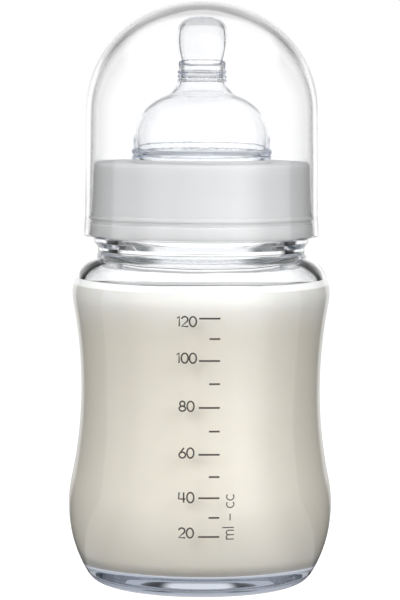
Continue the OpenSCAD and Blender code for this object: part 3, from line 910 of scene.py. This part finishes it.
# %% [markdown]
# ## Windows and curtains
#
# Clear things show mostly what lies around them. The camera sees a plain white room.
# Shine and glass see a wide white window right behind the bottle and dark curtains
# beside it: walls of glass bend the edge of that window into the thin dark lines that
# draw their shape, an old trick for clear things on white. Narrow windows stand at the
# sides and behind the camera. The pattern depends only on the direction, so it is one
# node group for room and table.

# %% The windows of the room
WINDOW_EDGE = (radians(27), radians(38))
STOPS = ((0, 0.03), (80, 0.03), (83, 1.0), (97, 1.0), (112, 0.45), (128, 1.0),
         (142, 1.0), (157, 0.7), (173, 1.0))  # degrees aside, and how bright it is there

windows, given, out = group("windows and curtains", {"Wider": 0.0},
                            ("Windows", "Strip", "Curtain", "Side"))
windows.interface.new_socket("Direction", in_out="INPUT", socket_type="NodeSocketVector")
aim = wired(windows, "ShaderNodeVectorMath", {0: given["Direction"]},
            operation="NORMALIZE").outputs[0]
axes = wired(windows, "ShaderNodeSeparateXYZ", {0: aim}).outputs
turn = math(windows, "ARCTAN2", axes["X"], axes["Y"])
aside = math(windows, "ABSOLUTE", turn)


def climbing(start, end, low=0.0, high=1.0):
    """A ramp over the height of a direction, given in degrees over the table."""
    return ramp(windows, axes["Z"], sin(radians(start)), sin(radians(end)), low, high)


# The wide window. A pale blind hangs in its upper part.
across = ramp(windows, math(windows, "SUBTRACT", aside, given["Wider"]), *WINDOW_EDGE,
              1.0, 0.0)
blind = product(windows, climbing(15, 22, 1.35, 0.7), climbing(26, 31, 1.0, 0.65))
# A soft darker patch stands at 21 degrees to each side, below the blind's end.
patch_off = math(windows, "ABSOLUTE", math(windows, "SUBTRACT", aside, radians(21)))
patch = product(windows, ramp(windows, patch_off, radians(5), radians(9), 1.0, 0.0),
                climbing(11, 15), climbing(24, 29, 0.45, 0.0))
wide = product(windows, across, blind, math(windows, "SUBTRACT", 1.0, patch))
# The narrow windows, and a pale ceiling over all of the room.
compass = wired(windows, "ShaderNodeValToRGB", {0: math(windows, "DIVIDE", aside, pi)})
stops = compass.color_ramp.elements
for number, (angle, shade) in enumerate(STOPS):
    stop = stops[number] if number < 2 else stops.new(angle / 180)
    stop.position = angle / 180
    stop.color = (shade, shade, shade, 1)
narrow = product(windows, compass.outputs["Color"],
                 ramp(windows, axes["Z"], 0.12, 0.30, 1.0, 0.1))
around = math(windows, "MAXIMUM", narrow, climbing(31, 40, 0.0, 0.8))
windows.links.new(math(windows, "MAXIMUM", wide, around), out.inputs["Windows"])
# A tall soft strip stands at the front right, 40 degrees from the camera.
beside = math(windows, "ABSOLUTE", math(windows, "SUBTRACT", turn, radians(140)))
windows.links.new(ramp(windows, beside, 0.0, radians(48), 1.0, 0.0), out.inputs["Strip"])
# A curtain hangs before the upper corners of the window.
windows.links.new(product(windows, ramp(windows, aside, radians(9), radians(15)),
                          climbing(3, 6)), out.inputs["Curtain"])
# A pale wall stands in place of the dark curtains.
windows.links.new(ramp(windows, aside, *WINDOW_EDGE, 0.0, 0.8), out.inputs["Side"])
print("windows and curtains:", len(windows.nodes), "nodes")

# %% [markdown]
# ## What each kind of ray sees
#
# A ray that crosses one bare wall of glass goes in and out of it, two crossings, and
# sees the curtain before the window: it draws the corners of the shoulder dark. A ray
# through the hood alone makes four crossings and sees the pale wall, so that the hood
# stays clear from every side. The hood isn't polished like the glass, and that tells
# the two apart. Through hood and teat together, the window looks a little wider.

# %% What a ray sees
ONE_WALL, ONE_HOOD, HOOD_AND_TEAT = 2.0, 4.0, 5.5  # crossings of clear skins
WIDER, STRIP_POWER, MIRRORED, CURTAIN_DARK = radians(4.5), 2.2, 0.3, 0.95


def room_light(tree, direction):
    """What shine and glass see in a direction, and whether a ray is one of those."""
    path = wired(tree, "ShaderNodeLightPath").outputs
    crossings, polished = path["Transmission Depth"], path["Is Singular Ray"]
    pattern = wired(tree, "ShaderNodeGroup", node_tree=windows)
    tree.links.new(direction, pattern.inputs["Direction"])
    tree.links.new(product(tree, math(tree, "GREATER_THAN", crossings, HOOD_AND_TEAT),
                           WIDER), pattern.inputs["Wider"])
    shine = product(tree, path["Is Glossy Ray"],
                    math(tree, "SUBTRACT", 1.0, path["Is Transmission Ray"]))
    # A mirrored window is a little dimmer than one seen through the glass.
    bright = product(tree, pattern.outputs["Windows"],
                     math(tree, "MULTIPLY_ADD", shine, -MIRRORED, 1.0))
    curtain = product(tree, math(tree, "COMPARE", crossings, ONE_WALL, 0.5), polished,
                      pattern.outputs["Curtain"])
    bright = product(tree, bright,
                     math(tree, "MULTIPLY_ADD", curtain, -CURTAIN_DARK, 1.0))
    side = product(tree, math(tree, "COMPARE", crossings, ONE_HOOD, 0.5),
                   math(tree, "SUBTRACT", 1.0, polished), pattern.outputs["Side"])
    bright = math(tree, "MAXIMUM", bright, side)
    bright = math(tree, "ADD", bright,
                  product(tree, pattern.outputs["Strip"], STRIP_POWER, shine))
    through = math(tree, "MAXIMUM", path["Is Glossy Ray"], path["Is Transmission Ray"])
    direct = math(tree, "LESS_THAN", path["Diffuse Depth"], 0.5)
    return bright, product(tree, through, direct), path


# %% [markdown]
# ## The room
#
# For the camera the room is white. Matte surfaces get an even light from all of it,
# and less of it where that light comes to them through glass, since the lamps already
# reach them there.

# %% The room
AMBIENT, THROUGH_GLASS = 0.5, 0.6  # the even light, and the share that glass takes off

world = bpy.data.worlds.new("white studio")
bpy.context.scene.world = world
world.use_nodes = True
tree = world.node_tree
tree.nodes.clear()
direction = wired(tree, "ShaderNodeTexCoord").outputs["Generated"]
bright, seen, path = room_light(tree, direction)
as_light = math(tree, "MULTIPLY_ADD", path["Is Transmission Ray"],
                -THROUGH_GLASS * AMBIENT, AMBIENT)
lit = wired(tree, "ShaderNodeMix", {"Factor": seen}, data_type="FLOAT")
tree.links.new(as_light, lit.inputs["A"])
tree.links.new(bright, lit.inputs["B"])
strength = math(tree, "MAXIMUM", path["Is Camera Ray"], lit.outputs["Result"])
sky = wired(tree, "ShaderNodeBackground", {"Color": (1, 1, 1, 1)})
tree.links.new(strength, sky.inputs["Strength"])
tree.links.new(sky.outputs[0], wired(tree, "ShaderNodeOutputWorld").inputs["Surface"])
print("room with a wide window and", len(STOPS), "stops round half the compass")

# %% [markdown]
# ## The table
#
# The table is a wide white board that keeps the shadow of the bottle. Shine and glass
# see the room's pattern carried on down over it, with painted shade a little darker near
# the bottle. For them a painted pool of light lies on the table right under the foot,
# in place of light that runs down the thick glass. Next to that, under the round of the
# heel, painted shade lies on the table.

# %% The table
TABLE_HALF, TABLE_GLOW = 4000, 0.83
# Painted shade and painted light on the table, which shine and glass see: distances
# from the middle of the foot, in millimetres, and the brightness at each end.
PAINTED_NEAR_SHADE = (120, 500, 0.72, 1.0)
PAINTED_HEEL_SHADE = (24, 42, 0.12, 1.0)
PAINTED_FOOT_LIGHT = (22.5, 24.5, 0.85, 0.0)


def board(name, corners, material):
    """A flat board from four corners, kept out of the object."""
    bm = bmesh.new()
    bm.faces.new([bm.verts.new(Vector(corner) * MM) for corner in corners])
    mesh = bpy.data.meshes.new(name)
    bm.to_mesh(mesh)
    bm.free()
    mesh.materials.append(material)
    made = bpy.data.objects.new(name, mesh)
    bpy.context.scene.collection.objects.link(made)


table_white, tree, shader, output = finish("white table")
set_sockets(shader, {"Roughness": 0.6, "Specular IOR Level": 0.2})
place, axes = object_place(tree)
mottle = wired(tree, "ShaderNodeTexNoise", {"Vector": place, "Scale": 30.0}).outputs["Fac"]
tree.links.new(blend(tree, mottle, (0.33, 0.33, 0.33), (0.35, 0.35, 0.35)),
               shader.inputs["Base Color"])
bright, seen, path = room_light(tree, place)
shader.inputs["Emission Color"].default_value = (1, 1, 1, 1)
tree.links.new(product(tree, path["Is Camera Ray"], TABLE_GLOW),
               shader.inputs["Emission Strength"])
away = wired(tree, "ShaderNodeVectorMath", {0: place}, operation="LENGTH").outputs["Value"]
painted_near_shade, painted_heel_shade, painted_foot_light = [ramp(tree, away, start * MM, end * MM, low, high)
                                      for start, end, low, high
                                      in (PAINTED_NEAR_SHADE, PAINTED_HEEL_SHADE, PAINTED_FOOT_LIGHT)]
# Painted shade near the bottle and under the heel, and a painted pool of light under the
# foot, for shine and glass only.
shown = math(tree, "MAXIMUM", product(tree, bright, painted_near_shade, painted_heel_shade), painted_foot_light)
glow = wired(tree, "ShaderNodeEmission", {"Color": (1, 1, 1, 1), "Strength": shown})
tree.links.new(mixed(tree, seen, shader, glow).outputs[0], output.inputs["Surface"])
table_white.cycles.emission_sampling = "NONE"
board("table", [(x * TABLE_HALF, y * TABLE_HALF, 0)
                for x, y in ((-1, -1), (1, -1), (1, 1), (-1, 1))], table_white)
print("table", 2 * TABLE_HALF, "mm wide")

# %% [markdown]
# ## The lamps
#
# Two large soft lamps stand at the front, one to each side, and a weak one hangs above.
# They light only what is matte: clear skins would mirror them as hard squares. Light
# in the thick foot runs to and fro many times before it comes out, so it is let bounce
# as often.

# %% The lamps
LAMP_AWAY, AIM_HIGH, BOUNCES = 900, 65, 48


def softbox(name, azimuth, elevation, wide, high, watts):
    """A soft lamp aimed at the middle of the bottle; azimuth 0 is the front."""
    lamp = bpy.data.lights.new(name, "AREA")
    lamp.shape, lamp.size, lamp.size_y, lamp.energy = "RECTANGLE", wide, high, watts
    made = bpy.data.objects.new(name, lamp)
    a, e = radians(azimuth), radians(elevation)
    spot = Vector((sin(a) * cos(e), -cos(a) * cos(e), sin(e))) * LAMP_AWAY * MM
    made.location = spot + Vector((0, 0, AIM_HIGH * MM))
    made.rotation_euler = (-spot).to_track_quat("-Z", "Y").to_euler()
    bpy.context.scene.collection.objects.link(made)
    made.visible_transmission = made.visible_camera = made.visible_glossy = False
    print(name, watts, "W")


softbox("right_softbox", 38, 30, wide=0.5, high=0.7, watts=5.4)
softbox("left_softbox", -36, 26, wide=0.5, high=0.7, watts=6.2)
softbox("top_softbox", 0, 80, wide=0.9, high=0.9, watts=2.0)

cycles = bpy.context.scene.cycles
cycles.max_bounces = cycles.transmission_bounces = cycles.transparent_max_bounces = BOUNCES
cycles.glossy_bounces = BOUNCES

# %% [markdown]
# ## Colour view
#
# Colours are shown through Blender's Standard view transform.

# %% Set the view transform
bpy.context.scene.view_settings.view_transform = "Standard"
